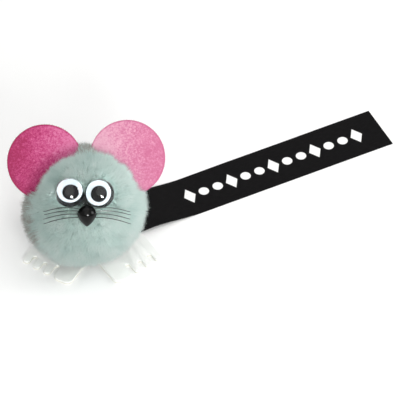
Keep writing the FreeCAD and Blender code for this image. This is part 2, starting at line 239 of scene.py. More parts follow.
def clear_sheet(name, ior):
    """Thermoformed clear PVC: see-through, with small bright reflections. Lamps shine through it
    unbent, because so thin a wall hardly bends light. The skirt lies tight on the black cup, so
    little light is turned back there and it gets a low IOR."""
    mat, tree, shader = surface(
        name, Base_Color=srgb("FBFDFD"), Roughness=0.02, IOR=ior, Transmission_Weight=1.0
    )
    output = next(node for node in tree.nodes if node.type == "OUTPUT_MATERIAL")
    path = add(tree, "ShaderNodeLightPath")
    open_air = add(tree, "ShaderNodeBsdfTransparent", {}, {"Color": srgb("F4F7F7")})
    both = add(tree, "ShaderNodeMixShader", {}, {
        0: path.outputs["Is Shadow Ray"], 1: shader.outputs[0], 2: open_air.outputs[0],
    })
    tree.links.new(both.outputs[0], output.inputs["Surface"])
    return mat


def drawn_nylon():
    """Drawn nylon filament: dark, half gloss, a little uneven in its dye along the strand."""
    mat, tree, shader = surface("drawn_nylon", Roughness=0.35, IOR=1.53)
    spot = add(tree, "ShaderNodeTexCoord").outputs["Object"]
    dye = add(tree, "ShaderNodeTexNoise", {}, {"Vector": spot, "Scale": per_mm(2.5), "Detail": 2.0})
    colour = add(tree, "ShaderNodeValToRGB", {}, {"Fac": dye.outputs["Fac"]}, [
        (0.3, "1D2421"), (0.7, "3A4641"),
    ])
    tree.links.new(colour.outputs["Color"], shader.inputs["Base Color"])
    return mat


def foam_sheet():
    """Closed-cell foam sheet: nearly white, with a fine pebbled skin of 0.3 mm cells."""
    mat, tree, shader = surface("closed_cell_foam", Roughness=0.6, IOR=1.48)
    shader.inputs["Subsurface Weight"].default_value = 0.2
    shader.inputs["Subsurface Radius"].default_value = (0.6 * MM, 0.6 * MM, 0.6 * MM)
    shader.inputs["Subsurface Scale"].default_value = 1.0
    spot = add(tree, "ShaderNodeTexCoord").outputs["Object"]
    wear = add(tree, "ShaderNodeTexNoise", {}, {"Vector": spot, "Scale": per_mm(6), "Detail": 4.0})
    colour = add(tree, "ShaderNodeValToRGB", {}, {"Fac": wear.outputs["Fac"]}, [
        (0.35, "EBEDE9"), (0.65, "F1F2EF"),
    ])
    tree.links.new(colour.outputs["Color"], shader.inputs["Base Color"])
    cells = add(tree, "ShaderNodeTexVoronoi", {}, {"Vector": spot, "Scale": per_mm(0.35)})
    bump = add(tree, "ShaderNodeBump", {}, {
        "Height": cells.outputs["Distance"], "Strength": 0.5, "Distance": 0.03 * MM,
    })
    tree.links.new(bump.outputs["Normal"], shader.inputs["Normal"])
    return mat


def release_paper():
    """Silicone-coated release paper: off-white, faintly cloudy, with a waxy shine."""
    mat, tree, shader = surface("silicone_release_paper", Roughness=0.35, IOR=1.45)
    spot = add(tree, "ShaderNodeTexCoord").outputs["Object"]
    cloud = add(tree, "ShaderNodeTexNoise", {}, {"Vector": spot, "Scale": per_mm(2.2), "Detail": 5.0})
    colour = add(tree, "ShaderNodeValToRGB", {}, {"Fac": cloud.outputs["Fac"]}, [
        (0.35, "E3DFD0"), (0.65, "F0EDE2"),
    ])
    tree.links.new(colour.outputs["Color"], shader.inputs["Base Color"])
    fibre = add(tree, "ShaderNodeTexNoise", {}, {"Vector": spot, "Scale": per_mm(0.4), "Detail": 3.0})
    bump = add(tree, "ShaderNodeBump", {}, {"Height": fibre.outputs["Fac"], "Distance": 0.02 * MM})
    tree.links.new(bump.outputs["Normal"], shader.inputs["Normal"])
    return mat


def set_glue(name, code, light_code, roughness):
    """Hot-melt glue or adhesive, set: milky, waxy and uneven."""
    mat, tree, shader = surface(name, Roughness=roughness, IOR=1.48, Coat_Weight=0.3)
    spot = add(tree, "ShaderNodeTexCoord").outputs["Object"]
    milk = add(tree, "ShaderNodeTexNoise", {}, {"Vector": spot, "Scale": per_mm(1.8), "Detail": 3.0})
    colour = add(tree, "ShaderNodeValToRGB", {}, {"Fac": milk.outputs["Fac"]}, [
        (0.3, code), (0.7, light_code),
    ])
    tree.links.new(colour.outputs["Color"], shader.inputs["Base Color"])
    bump = add(tree, "ShaderNodeBump", {}, {"Height": milk.outputs["Fac"], "Distance": 0.1 * MM})
    tree.links.new(bump.outputs["Normal"], shader.inputs["Normal"])
    return mat


RIBBON_WIDTH = 16.0            # millimetres, as are the ribbon's other sizes
PRINT_START = 39.0
PRINT_PITCH = 4.8
PRINT_END = PRINT_START + 13 * PRINT_PITCH
PRINT_DOT = 1.6
PRINT_BLUR = 0.06              # how soft the print's edge is, to each side
LOZENGE_SQUASH = 0.62
LOZENGE_LARGER = 0.35
SELVEDGE = 0.5


def woven_satin():
    """Black polyester satin, woven single-face: fine warp floats run along the ribbon and give a
    silky streak, and each selvedge is a tighter cord. The white screen print lies on top, matt and
    slightly broken by the weave. Real warp ends are 0.1 mm apart, drawn here at 0.3 mm to show."""
    mat, tree, shader = surface("woven_satin", IOR=1.5, Specular_IOR_Level=0.06)
    place = add(tree, "ShaderNodeUVMap", {"uv_map": "ribbon_mm"}).outputs["UV"]
    parts = add(tree, "ShaderNodeSeparateXYZ", {}, {"Vector": place})

    floats = add(tree, "ShaderNodeTexWave", {"wave_type": "BANDS", "bands_direction": "X"}, {
        "Vector": place, "Scale": 1.05, "Distortion": 0.6, "Detail": 1.0, "Detail Scale": 0.5,
    })
    picks = add(tree, "ShaderNodeTexNoise", {"noise_dimensions": "2D"}, {
        "Vector": add(tree, "ShaderNodeMapping", {}, {"Vector": place, "Scale": (3.2, 0.5, 1)}).outputs[0],
        "Scale": 1.0, "Detail": 3.0,
    })
    cloth = add(tree, "ShaderNodeValToRGB", {}, {"Fac": picks.outputs["Fac"]}, [
        (0.3, "080708"), (0.7, "111011"),
    ])

    # The print is a row of dots, and every third one is a lozenge.
    half = RIBBON_WIDTH / 2
    sums = {
        "across": parts.outputs["X"], "along": parts.outputs["Y"],
        "floats": floats.outputs["Fac"], "picks": picks.outputs["Fac"],
    }
    for name, operation, *terms in (
        ("off_across", "SUBTRACT", "across", half),
        ("from_middle", "ABSOLUTE", "off_across"),
        ("selvedge", "GREATER_THAN", "from_middle", half - SELVEDGE),
        ("from_start", "SUBTRACT", "along", PRINT_START),
        ("step", "DIVIDE", "from_start", PRINT_PITCH),
        ("number", "FLOOR", "step"),
        ("share", "FRACT", "step"),
        ("off_share", "SUBTRACT", "share", 0.5),
        ("off_along", "MULTIPLY", "off_share", PRINT_PITCH),
        ("along_squared", "POWER", "off_along", 2.0),
        ("across_squared", "POWER", "off_across", 2.0),
        ("squares", "ADD", "along_squared", "across_squared"),
        ("round", "SQRT", "squares"),
        ("beside_along", "ABSOLUTE", "off_along"),
        ("lozenge", "MULTIPLY_ADD", "from_middle", LOZENGE_SQUASH, "beside_along"),
        ("turn", "FLOORED_MODULO", "number", 3.0),
        ("third", "LESS_THAN", "turn", 0.5),
        ("lozenge_part", "MULTIPLY", "third", "lozenge"),
        ("other", "SUBTRACT", 1.0, "third"),
        ("distance", "MULTIPLY_ADD", "other", "round", "lozenge_part"),
        ("size", "MULTIPLY_ADD", "third", LOZENGE_LARGER, PRINT_DOT),
        ("outside", "SUBTRACT", "distance", "size"),
        ("sharp", "MULTIPLY_ADD", "outside", -1 / (2 * PRINT_BLUR), 0.5),
        ("above", "MAXIMUM", "sharp", 0.0),
        ("inside", "MINIMUM", "above", 1.0),
        ("after_start", "GREATER_THAN", "along", PRINT_START),
        ("before_end", "LESS_THAN", "along", PRINT_END),
        ("run", "MULTIPLY", "after_start", "before_end"),
        ("whole_ink", "MULTIPLY", "inside", "run"),
        # The weave breaks the ink slightly, down to three quarters where the picks are deep.
        ("pick_depth", "MULTIPLY_ADD", "picks", 1.25, 0.5),
        ("pick_low", "MAXIMUM", "pick_depth", 0.75),
        ("worn", "MINIMUM", "pick_low", 1.0),
        ("ink", "MULTIPLY", "whole_ink", "worn"),
        # Roughness: silky on the floats, dull on the selvedge and the ink.
        ("silk", "MULTIPLY_ADD", "floats", 0.12, 0.3),
        ("dull_edge", "MULTIPLY", "selvedge", 0.6),
        ("dull_ink", "MULTIPLY", "ink", 0.62),
        ("dull", "MAXIMUM", "dull_edge", "dull_ink"),
        ("roughness", "MAXIMUM", "silk", "dull"),
        # Height: ink over floats, and the selvedge's cord.
        ("over_floats", "MULTIPLY_ADD", "ink", 0.5, "floats"),
        ("height", "MULTIPLY_ADD", "selvedge", 0.8, "over_floats"),
    ):
        terms = {index: sums.get(term, term) for index, term in enumerate(terms)}
        sums[name] = add(tree, "ShaderNodeMath", {"operation": operation}, terms).outputs[0]

    both = add(tree, "ShaderNodeMix", {"data_type": "RGBA"}, {
        "Factor": sums["ink"], "A": cloth.outputs["Color"], "B": srgb("F1F1EF"),
    })
    tree.links.new(both.outputs["Result"], shader.inputs["Base Color"])
    tree.links.new(sums["roughness"], shader.inputs["Roughness"])
    bump = add(tree, "ShaderNodeBump", {}, {
        "Height": sums["height"], "Strength": 0.5, "Distance": 0.04 * MM,
    })
    tree.links.new(bump.outputs["Normal"], shader.inputs["Normal"])
    return mat


def binding_thread():
    """Twisted polyester thread: fine slanted plies."""
    mat, tree, shader = surface("binding_thread", Roughness=0.7)
    spot = add(tree, "ShaderNodeTexCoord").outputs["Object"]
    plies = add(tree, "ShaderNodeTexWave", {"bands_direction": "DIAGONAL"}, {
        "Vector": spot, "Scale": per_mm(1.5),
    })
    colour = add(tree, "ShaderNodeValToRGB", {}, {"Fac": plies.outputs["Fac"]}, [
        (0.2, "8C9A93"), (0.8, "A9B8B0"),
    ])
    tree.links.new(colour.outputs["Color"], shader.inputs["Base Color"])
    return mat


# ---------------------------------------------------------------- mesh helpers

def local_frame(origin, z_axis, y_hint):
    """The matrix of a local frame whose Z is z_axis and whose Y is nearest to y_hint."""
    z = z_axis.normalized()
    x = y_hint.cross(z).normalized()
    y = z.cross(x)
    turn = Matrix((x, y, z)).transposed().to_4x4()
    return Matrix.Translation(origin) @ turn


def finished(name, bm, mat, place=None, smooth_angle=40):
    """Turns a bmesh into an object at the origin, its place in its mesh, with smooth shading."""
    if place is not None:
        bmesh.ops.transform(bm, matrix=place, verts=bm.verts)
    limit = math.radians(smooth_angle)
    for face in bm.faces:
        face.smooth = True
    for edge in bm.edges:
        edge.smooth = len(edge.link_faces) != 2 or edge.calc_face_angle(0) < limit
    data = bpy.data.meshes.new(name)
    bm.to_mesh(data)
    bm.free()
    materials = mat if isinstance(mat, (list, tuple)) else [mat]
    for each in materials:
        data.materials.append(each)
    obj = bpy.data.objects.new(name, data)
    bpy.context.scene.collection.objects.link(obj)
    return obj


def soften(bm, offset, segments=3, angle=50):
    """Rounds every edge that is sharper than the angle."""
    limit = math.radians(angle)
    sharp = [e for e in bm.edges if len(e.link_faces) == 2 and e.calc_face_angle(0) > limit]
    bmesh.ops.bevel(
        bm, geom=sharp, affect="EDGES", offset=offset, segments=segments, profile=0.5, material=-1,
        clamp_overlap=True,
    )


def lathe(profile, steps=72, closed=True):
    """A bmesh turned about Z from (radius, height) points in millimetres."""
    bm = bmesh.new()
    points = [bm.verts.new((r * MM, 0, z * MM)) for r, z in profile]
    pairs = list(zip(points, points[1:]))
    if closed:
        pairs.append((points[-1], points[0]))
    edges = [bm.edges.new(pair) for pair in pairs]
    bmesh.ops.spin(
        bm, geom=points + edges, cent=(0, 0, 0), axis=(0, 0, 1), angle=math.tau, steps=steps,
        use_merge=True, use_duplicate=False,
    )
    bmesh.ops.remove_doubles(bm, verts=bm.verts, dist=0.001 * MM)
    bmesh.ops.dissolve_degenerate(bm, edges=bm.edges, dist=0.0005 * MM)
    bmesh.ops.recalc_face_normals(bm, faces=bm.faces)
    return bm


def smooth_step(value, start, end):
    t = min(1.0, max(0.0, (value - start) / (end - start)))
    return t * t * (3 - 2 * t)


def span(node, direction):
    """The lowest and highest reach of a CAD node along a direction."""
    reach = [vert.co.dot(direction) for vert in NODES[node].data.vertices]
    return min(reach), max(reach)


def middle(node):
    low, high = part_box(node)
    return (low + high) / 2


def joint_place(name):
    joint = JOINTS[name]
    return Vector(joint["pos_m"]), Vector(joint["axis"]).normalized()


# ---------------------------------------------------------------- pompom

PILE_SHADES = ("B6D1CB", "C7DED8", "D2E6E0", "DCECE7", "E6F1ED")
PAINTED_SHADE_FIBRE = "A5A39A"          # warm grey fibre at the pompom's back and rim, a painted shade for fur there in shadow
TUFT_COUNT = 13000
TUFT_FIBRES = 12
TUFT_KINDS = 8
FIBRE_RADIUS = 0.085
FIBRE_LENGTH = 4.3
FIBRE_UNEVEN = (0.62, 1.06)
TUFT_ROOT = 0.4
TUFT_FAN = 12
CORE_SHARE = 0.84
BULGE_WAY = (FACE_ACROSS * -0.763 - FACE_UP * 0.645).normalized()
BULGE_RISE = 1.4
BULGE_SPREAD = 0.55
RESTING_HEIGHT = 1.45 * MM
FIBRE_FLOOR = 1.05 * MM        # just over the feet, which the lowest fibres are pressed against
PIECE_TUFTS = 4000             # a piece of fibres stays under 200,000 triangles
# Where the core is painted near black, a painted shade in the pit between the eyes and the nose.
PIT_SHADE_SPOT = (0.1, 0.6, 16.2)
EAR_PARTING = {"left": 15.6, "right": 16.9}    # how near the ears' fronts the pile comes to the rim


def ball_radius(way):
    """How far the pile's tips stand from the centre in a direction: round, but never perfectly."""
    lumps = noise.noise(way * 2.3 + Vector((3.1, 0.4, 7.7))) * 0.35
    left_rim = max(0.0, -way.dot(FACE_ACROSS) - 0.75) * 4
    fine = noise.noise(way * 9.0) * (0.3 + 0.9 * left_rim)
    bulge = max(0.0, (way.dot(BULGE_WAY) - BULGE_SPREAD) / (1 - BULGE_SPREAD))
    return BALL_RADIUS + (lumps + fine + BULGE_RISE * bulge * bulge * (3 - 2 * bulge)) * MM


def tuft_mesh(seed):
    """A few cut fibres that stand on the origin and fan out upwards."""
    draw = random.Random(seed)
    bm = bmesh.new()
    for _ in range(TUFT_FIBRES):
        length = FIBRE_LENGTH * draw.uniform(*FIBRE_UNEVEN) * MM
        made = bmesh.ops.create_cone(
            bm, cap_ends=True, segments=3, radius1=FIBRE_RADIUS * MM, radius2=0, depth=length
        )["verts"]
        bmesh.ops.translate(bm, verts=made, vec=(0, 0, length / 2))
        lean = Matrix.Rotation(math.radians(draw.gauss(0, TUFT_FAN)), 4, "X")
        turn = Matrix.Rotation(draw.uniform(0, math.tau), 4, "Z")
        away = TUFT_ROOT * math.sqrt(draw.random()) * MM
        around = draw.uniform(0, math.tau)
        place = Matrix.Translation((away * math.cos(around), away * math.sin(around), 0))
        bmesh.ops.transform(bm, matrix=place @ turn @ lean, verts=made)
    data = bpy.data.meshes.new(f"tuft_{seed}")
    bm.to_mesh(data)
    bm.free()
    return data


def even_directions(count):
    """Directions spread evenly over a ball."""
    golden = math.pi * (3 - math.sqrt(5))
    for i in range(count):
        z = 1 - 2 * (i + 0.5) / count
        ring = math.sqrt(1 - z * z)
        yield Vector((ring * math.cos(golden * i), ring * math.sin(golden * i), z))


EYE_FACE_HEIGHT = 2.95         # millimetres above the eye's base, as are the eyes' other sizes
EYE_BARE_RADIUS = 5.0          # the pile keeps this clear of each eye's axis
NOSE_PLACE = (0.5, -2.95, 19.3)
NOSE_LEAN = 9.0
NOSE_RADIUS = 2.97
NOSE_TOP = 2.7
NOSE_TIP = 3.75
WHISKER_BAND = (-5.2, -0.6)    # heights on the face between which the whiskers press the pile
WHISKER_COMBED = 9.0
WHISKER_PRESS = 0.45


def eye_place(side):
    """The local frame of an eye, Z out along its axis, from the middle of its base."""
    point, axis = joint_place(f"pupil_{side}_roll")
    return local_frame(point - axis * EYE_FACE_HEIGHT * MM, axis, FACE_UP)


class Obstacles:
    """What the pile's fibres have to leave room for."""

    def __init__(self):
        self.eyes = [eye_place(side).inverted() for side in SIDES]
        self.ears = []
        for side in SIDES:
            point, axis = joint_place(f"ear_{side}_bend")
            across_low, across_high = span(f"ear_{side}", axis)
            outward = FACE_OUT.cross(axis)
            centre = axis * (across_low + across_high) / 2
            radius = (across_high - across_low) / 2
            top = span(f"ear_{side}", outward)[1]
            self.ears.append((axis, outward, centre.dot(axis), top - radius, radius))
        self.ear_low, self.ear_high = span("ear_left", FACE_OUT)

    def pressed(self, way, radius):
        """How far the pile reaches in a direction, once the ears have parted it. Fibres in front of
        an ear are pushed in, and stand up towards its rim."""
        reach = radius
        for side, (axis, outward, middle_across, middle_out, ear) in zip(SIDES, self.ears):
            tip = BALL_CENTRE + way * radius
            inside = ear - math.hypot(tip.dot(axis) - middle_across, tip.dot(outward) - middle_out)
            from_centre = tip - BALL_CENTRE
            out = from_centre.dot(FACE_OUT)
            beside = (from_centre - FACE_OUT * out).length
            uneven = noise.noise(way * 6.0) * 0.7 + noise.noise(way * 17.0) * 0.6
            limit = EAR_PARTING[side] * MM + uneven * MM
            if out < self.ear_high - BALL_CENTRE.dot(FACE_OUT) or beside < limit:
                continue
            share = smooth_step(inside, -0.5 * MM, 1.5 * MM)
            reach = min(reach, radius * (1 - share * (1 - limit / beside)))
        return reach

    def hit(self, point):
        for inverse in self.eyes:
            local = inverse @ point
            if local.z > -0.3 * MM and math.hypot(local.x, local.y) < EYE_BARE_RADIUS * MM:
                return True
        out = point.dot(FACE_OUT)
        if self.ear_low - 0.1 * MM < out < self.ear_high + 0.1 * MM:
            for axis, outward, middle_across, middle_out, radius in self.ears:
                off = math.hypot(point.dot(axis) - middle_across, point.dot(outward) - middle_out)
                if off < radius:
                    return True
        from_nose = point - on_face(*NOSE_PLACE)
        across, up = from_nose.dot(FACE_ACROSS) / MM, from_nose.dot(FACE_UP) / MM
        reach = NOSE_TOP if up > 0 else NOSE_TIP
        beside_nose = math.hypot(across / NOSE_RADIUS, up / reach) < 1.06
        between_eyes = abs(across + 0.4) < 2.6 and 0 < up < 5.6
        return (beside_nose or between_eyes) and from_nose.dot(FACE_OUT) > -0.9 * MM


def combed_length(way, length):
    """How long the pile is where the whiskers press it down a little."""
    point = way * BALL_RADIUS
    across, up = point.dot(FACE_ACROSS) / MM, point.dot(FACE_UP) / MM
    if WHISKER_BAND[0] < up < WHISKER_BAND[1] and abs(across) < WHISKER_COMBED and way.dot(FACE_OUT) > 0:
        length -= WHISKER_PRESS * MM * (1 - (abs(across) / WHISKER_COMBED) ** 2)
    return length


def painted_shade_share(way):
    """The share of fibres in the painted-shade tone: none on the face, most at the rim behind it, up and to
    the left, where the pile is in shadow.
    """
    rim = smooth_step(-way.dot(FACE_OUT), -0.52, -0.15)
    upper_left = smooth_step(way.dot(FACE_UP) * 0.55 - way.dot(FACE_ACROSS), 0.1, 0.75)
    crown = smooth_step(way.dot(FACE_UP), 0.8, 0.93)
    not_behind = smooth_step(way.dot(FACE_OUT), -0.32, -0.04)
    return 0.8 * rim * not_behind * max(upper_left, crown)


def make_pile(obstacles):
    draw = random.Random(41)
    kinds = [tuft_mesh(seed) for seed in range(TUFT_KINDS)]
    codes = (*PILE_SHADES, PAINTED_SHADE_FIBRE)
    shades = [[[bmesh.new(), 0]] for _ in codes]     # for each shade, its meshes and their tufts
    count = TUFT_COUNT
    for way in even_directions(count):
        jitter = Vector((draw.gauss(0, 1), draw.gauss(0, 1), draw.gauss(0, 1))) * 0.012
        way = (way + jitter).normalized()
        kind = kinds[draw.randrange(TUFT_KINDS)]
        spin = draw.uniform(0, math.tau)
        swirl = noise.noise_vector(way * 5.0) * 0.2 + noise.noise_vector(way * 13.0) * 0.22
        patch = noise.noise(way * 4.5 + Vector((9.0, 2.0, 5.0))) * 1.5 + draw.gauss(0, 0.5)
        tip_radius = obstacles.pressed(way, combed_length(way, ball_radius(way))) + draw.gauss(0, 0.32) * MM
        root = BALL_CENTRE + way * (tip_radius - FIBRE_LENGTH * MM)
        aim = (way + swirl).normalized()
        tip = root + aim * FIBRE_LENGTH * MM
        if tip.z < RESTING_HEIGHT:
            if root.z < RESTING_HEIGHT:
                continue
            aim.z = (RESTING_HEIGHT - root.z) / (FIBRE_LENGTH * MM)
            tip = root + aim * FIBRE_LENGTH * MM
        if obstacles.hit(tip) or obstacles.hit((root + tip * 2) / 3):
            continue
        shade = min(len(PILE_SHADES) - 1, max(0, int(patch + len(PILE_SHADES) / 2)))
        # Painted shade: near the rim, up and to the left, some tufts take the warm grey tone.
        if draw.random() < painted_shade_share(way):
            shade = len(PILE_SHADES)
        place = local_frame(root, aim, Vector((0.3, 0.5, 0.81)).cross(aim)) @ Matrix.Rotation(spin, 4, "Z")
        copy = kind.copy()
        copy.transform(place)
        for vert in copy.vertices:
            vert.co.z = max(vert.co.z, FIBRE_FLOOR)
        tufts = shades[shade]
        if tufts[-1][1] == PIECE_TUFTS:
            tufts.append([bmesh.new(), 0])
        tufts[-1][0].from_mesh(copy)
        tufts[-1][1] += 1
        bpy.data.meshes.remove(copy)
    pieces = []
    for number, (tufts, code) in enumerate(zip(shades, codes), 1):
        mat = pile_fibre(f"acrylic_pile_{number}", code)
        for part, (bm, _) in zip("abcd", tufts):
            pieces.append(finished(f"pompom_fibres_{number}{part}", bm, mat, smooth_angle=180))
    for kind in kinds:
        bpy.data.meshes.remove(kind)
    return pieces


def make_core(obstacles):
    bm = bmesh.new()
    bmesh.ops.create_icosphere(bm, subdivisions=6, radius=1.0)
    for vert in bm.verts:
        way = vert.co.normalized()
        vert.co = BALL_CENTRE + way * obstacles.pressed(way, ball_radius(way)) * CORE_SHARE
        vert.co.z = max(vert.co.z, RESTING_HEIGHT)
    bmesh.ops.smooth_vert(bm, verts=bm.verts, factor=0.5, use_axis_x=True, use_axis_y=True, use_axis_z=True)
    return finished("pompom_core", bm, pile_core(on_face(*PIT_SHADE_SPOT)), smooth_angle=180)


obstacles = Obstacles()
core = make_core(obstacles)
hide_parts("pompom_pile")
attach(core, "root")
for fibres in make_pile(obstacles):
    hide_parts("pompom_pile")
    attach(fibres, "root")


# ---------------------------------------------------------------- ears

EAR_RINGS = 9
# The left ear's colours are darker than the right's, a painted shade for the ear turned away from the
# light; each lean range carries that painted shade across the ear.
EAR_DYE_AND_SHADE = {
    "left": (("990C4C", "BC3A76", "CF6E98"), (-24 * MM, -1 * MM)),
    "right": (("BE5F86", "CE7E9E", "DDA3B8"), (26 * MM, 2 * MM)),
}
EAR_CURL = {"left": (1.1, 0.5), "right": (0.35, 0.3)}
FUZZ_COUNT = 1200


def make_ear(side):
    """A felt disc with a straight root, gently dished, its rim rounded and furred by cutting."""
    name = f"ear_{side}"
    point, axis = joint_place(f"ear_{side}_bend")
    outward = FACE_OUT.cross(axis)
    low, high = span(name, axis)
    radius = (high - low) / 2
    top = span(name, outward)[1]
    back, front = span(name, FACE_OUT)
    root = span(name, outward)[0]
    centre = axis * (low + high) / 2 + outward * (top - radius) + FACE_OUT * back
    place = local_frame(centre, FACE_OUT, outward)

    bm = bmesh.new()
    bmesh.ops.create_circle(bm, cap_ends=True, segments=96, radius=radius)
    for _ in range(EAR_RINGS):
        inner = max(bm.faces, key=lambda face: len(face.verts))
        ring = radius / (EAR_RINGS + 1.5)
        bmesh.ops.inset_region(bm, faces=[inner], thickness=ring, use_even_offset=True)
    bmesh.ops.poke(bm, faces=[max(bm.faces, key=lambda face: len(face.verts))])
    cut = root - (top - radius)
    bmesh.ops.bisect_plane(
        bm, geom=bm.verts[:] + bm.edges[:] + bm.faces[:], plane_co=(0, cut, 0), plane_no=(0, -1, 0),
        clear_outer=True,
    )
    bmesh.ops.recalc_face_normals(bm, faces=bm.faces)
    if bm.faces[0].normal.z < 0:
        bmesh.ops.reverse_faces(bm, faces=bm.faces)
    sheet = bm.faces[:]
    grown = bmesh.ops.extrude_face_region(bm, geom=sheet)
    risen = [item for item in grown["geom"] if isinstance(item, bmesh.types.BMVert)]
    bmesh.ops.translate(bm, verts=risen, vec=(0, 0, front - back))
    bmesh.ops.recalc_face_normals(bm, faces=bm.faces)
    soften(bm, 0.3 * MM, 3)
    sweep, dish = EAR_CURL[side]
    seed = Vector((5.0, 1.0, 2.0 if side == "left" else 8.0))
    for vert in bm.verts:
        x, y = vert.co.x / radius, (vert.co.y - cut) / (2 * radius)
        outer = -x if side == "left" else x
        bend = -sweep * max(0.0, outer) ** 2 * y - dish * (1 - x * x) * y * 0.5
        ripple = noise.noise(Vector((x, y, 0)) * 3 + seed) * 0.25 * y
        grain = noise.noise(vert.co * per_mm(1.1) + seed) * 0.05
        vert.co.z += (bend + ripple + grain) * MM
    dyes, lean = EAR_DYE_AND_SHADE[side]
    felt = needled_felt(name + "_felt", *dyes, lean, centre + FACE_OUT * (front - back) / 2, radius)
    fuzz = finished(name + "_fuzz", make_fuzz(bm, 17 if side == "left" else 18), felt, place)
    return finished(name + "_felt", bm, felt, place, smooth_angle=60), fuzz


def make_fuzz(felt, seed):
    """Loose felt fibres: fine hairs that stand off the felt's faces and, most of all, its rim."""
    draw = random.Random(seed)
    felt.faces.ensure_lookup_table()
    faces = felt.faces[:]
    rim = [face for face in faces if abs(face.normal.z) < 0.8]
    spots = []
    for number in range(FUZZ_COUNT):
        face = draw.choice(rim if number % 2 else faces)
        spots.append((face.calc_center_median() + face.normal * -0.03 * MM, face.normal.copy()))
    bm = bmesh.new()
    for spot, normal in spots:
        length = draw.uniform(0.25, 0.6) * MM
        made = bmesh.ops.create_cone(
            bm, cap_ends=True, segments=3, radius1=0.025 * MM, radius2=0, depth=length
        )["verts"]
        side = Vector((draw.gauss(0, 1), draw.gauss(0, 1), draw.gauss(0, 1)))
        aim = (normal + side * 0.9).normalized()
        place = local_frame(spot + aim * length * 0.35, aim, side)
        bmesh.ops.transform(bm, matrix=place, verts=made)
    return bm


for side in SIDES:
    ear, fuzz = make_ear(side)
    for piece in (ear, fuzz):
        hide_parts(f"ear_{side}")
        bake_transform(piece)


# ---------------------------------------------------------------- eyes

BACK_BASE_RADIUS = 4.25
BACK_TOP_RADIUS = 3.9
BACK_HEIGHT = 2.55
WHITE_RADIUS = 3.85
PUPIL_RADIUS = 2.5
PUPIL_THICKNESS = 0.4
LENS_WALL = 0.2
LENS_GAP = 0.05
LENS_FLANGE = (5.4, 0.25)
LENS_HEIGHT = 5.0
LENS_TRIM = {"left": 4.62, "right": 4.65}


def dome(radius, height, top, points=12):
    """Points of the arc from a wall at (radius, height) to the axis at the top."""
    rise = top - height
    ball = (radius * radius + rise * rise) / (2 * rise)
    half = math.asin(radius / ball)
    for i in range(points + 1):
        angle = half * (1 - i / points)
        yield ball * math.sin(angle), top - ball + ball * math.cos(angle)


def make_eye_back(side, mat):
    """The black cup that lifts the eye out of the pile, recessed underneath for its glue."""
    bm = lathe([
        (0, 1.0), (3.2, 1.0), (3.2, 0), (BACK_BASE_RADIUS, 0),
        (BACK_TOP_RADIUS, BACK_HEIGHT - 0.02), (0, BACK_HEIGHT - 0.02),
    ], closed=False)
    soften(bm, 0.12 * MM)
    return finished(f"eye_cup_{side}", bm, mat, eye_place(side))


def make_eye_white(side, mat):
    bm = lathe([
        (0, BACK_HEIGHT), (WHITE_RADIUS, BACK_HEIGHT),
        (WHITE_RADIUS, EYE_FACE_HEIGHT), (0, EYE_FACE_HEIGHT),
    ], closed=False)
    soften(bm, 0.1 * MM)
    return finished(f"eye_disc_{side}", bm, mat, eye_place(side))


def make_pupil(side, mat):
    """A stamped black disc, its upper edge rolled over by the punch."""
    place = eye_place(side)
    local = place.inverted() @ middle(f"pupil_{side}")
    half = PUPIL_THICKNESS / 2
    bm = lathe([(0, -half), (PUPIL_RADIUS, -half), (PUPIL_RADIUS, half), (0, half)], closed=False)
    soften(bm, 0.12 * MM)
    return finished(f"pupil_disc_{side}", bm, mat, place @ Matrix.Translation(local))


def make_lens(side, mat):
    """The clear cap: one wall thickness all over, with a flange that is trimmed beside its twin."""
    base = BACK_BASE_RADIUS + LENS_GAP
    shoulder = BACK_TOP_RADIUS + LENS_GAP
    flange_radius, flange = LENS_FLANGE
    inner_top = LENS_HEIGHT - LENS_WALL
    outer = [(flange_radius, 0), (flange_radius, flange), (base + LENS_WALL, flange)]
    outer += list(dome(shoulder + LENS_WALL, EYE_FACE_HEIGHT, LENS_HEIGHT))
    inner = list(dome(shoulder, EYE_FACE_HEIGHT, inner_top))[::-1] + [(base, 0)]
    bm = lathe(outer + inner, steps=96)
    place = eye_place(side)
    other = eye_place("left" if side == "right" else "right")
    toward = place.inverted() @ other.translation
    toward.z = 0
    cut = bmesh.ops.bisect_plane(
        bm, geom=bm.verts[:] + bm.edges[:] + bm.faces[:],
        plane_co=toward.normalized() * LENS_TRIM[side] * MM, plane_no=toward.normalized(), clear_outer=True,
    )
    edges = [item for item in cut["geom_cut"] if isinstance(item, bmesh.types.BMEdge)]
    bmesh.ops.edgenet_fill(bm, edges=edges)
    bmesh.ops.recalc_face_normals(bm, faces=bm.faces)
    soften(bm, 0.06 * MM, 2)
    for face in bm.faces:
        face.material_index = 1 if face.calc_center_median().z < (EYE_FACE_HEIGHT - 0.1) * MM else 0
    return finished(f"eye_dome_{side}", bm, mat, place, smooth_angle=45)


eye_black = moulded_gloss("black_polystyrene", "0B0B0D", "121316", 0.15, gloss=0.2)
eye_white_mat = moulded_gloss("white_pvc_sheet", "A7AEB4", "B6BCC1", 0.45, gloss=0.04)
pupil_black = moulded_gloss("black_pvc_sheet", "030304", "070608", 0.3, gloss=0.02)
lens_clear = (clear_sheet("clear_pvc", 1.33), clear_sheet("clear_pvc_skirt", 1.12))
EYE_PIECES = (
    (make_eye_back, eye_black, "eye_back_{}", "eye_black", "root"),
    (make_eye_white, eye_white_mat, "eye_white_{}", "eye_white", "root"),
    (make_pupil, pupil_black, "pupil_{}", "pupil", "pupil_{}"),
    (make_lens, lens_clear, "eye_lens_{}", "clear_lens", "root"),
)
for side in SIDES:
    for make, mat, node, slot, body in EYE_PIECES:
        piece = make(side, mat)
        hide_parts(node.format(side))
        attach(piece, body.format(side))


# ---------------------------------------------------------------- nose and whiskers

